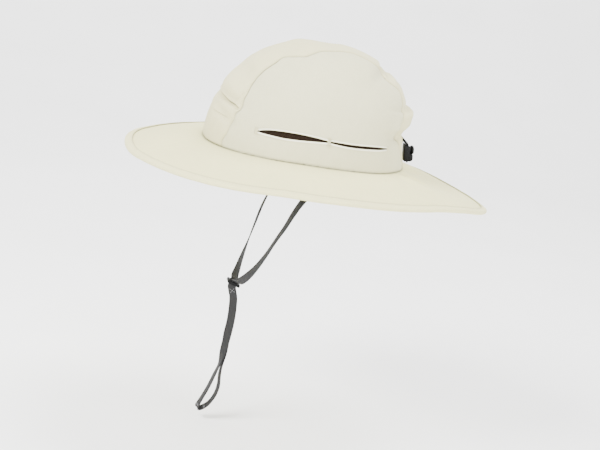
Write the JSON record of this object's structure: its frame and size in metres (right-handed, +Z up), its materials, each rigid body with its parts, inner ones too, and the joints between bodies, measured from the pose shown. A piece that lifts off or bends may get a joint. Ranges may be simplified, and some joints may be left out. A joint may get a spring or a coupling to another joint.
{
  "type": "sun hat",
  "caption": "Wide-brimmed sun hat in ivory cloth with a soft panelled crown, side vent slits backed with dark net, a grey tape chin strap with a slider, and a rear drawcord with a cord lock.",
  "frame": {"origin": "the centre of the head opening, level with the seam between the crown and the brim", "axes": "+X to the wearer's left, +Y to the back, +Z up"},
  "size_m": [0.3034, 0.3753, 0.3987],
  "materials": {
    "crown_cloth": "matte plain weave",
    "side_cloth": "matte plain weave",
    "brim_cloth": "matte plain weave",
    "net": "matte fine net",
    "tape": "matte woven tape",
    "cord": "matte braided cord",
    "plastic": "satin moulded"
  },
  "bodies": {
    "hat": {"centre_panel": "crown_cloth", "side_panel_left": "side_cloth", "side_panel_right": "side_cloth", "vent_mesh_left": "net", "vent_mesh_right": "net", "brim": "brim_cloth", "brim_binding": "brim_cloth", "chin_strap": "tape", "strap_slider": "plastic", "drawcord": "cord", "cord_lock": "plastic"},
    "plunger": {"lock_plunger": "plastic"}
  },
  "joints": [
    {"name": "plunger_press", "type": "slide", "parent": "hat", "child": "plunger", "axis": [0, -0.9903, -0.1392], "range_m": [0, 0.0012], "stiffness_N_per_m": 400}
  ]
}
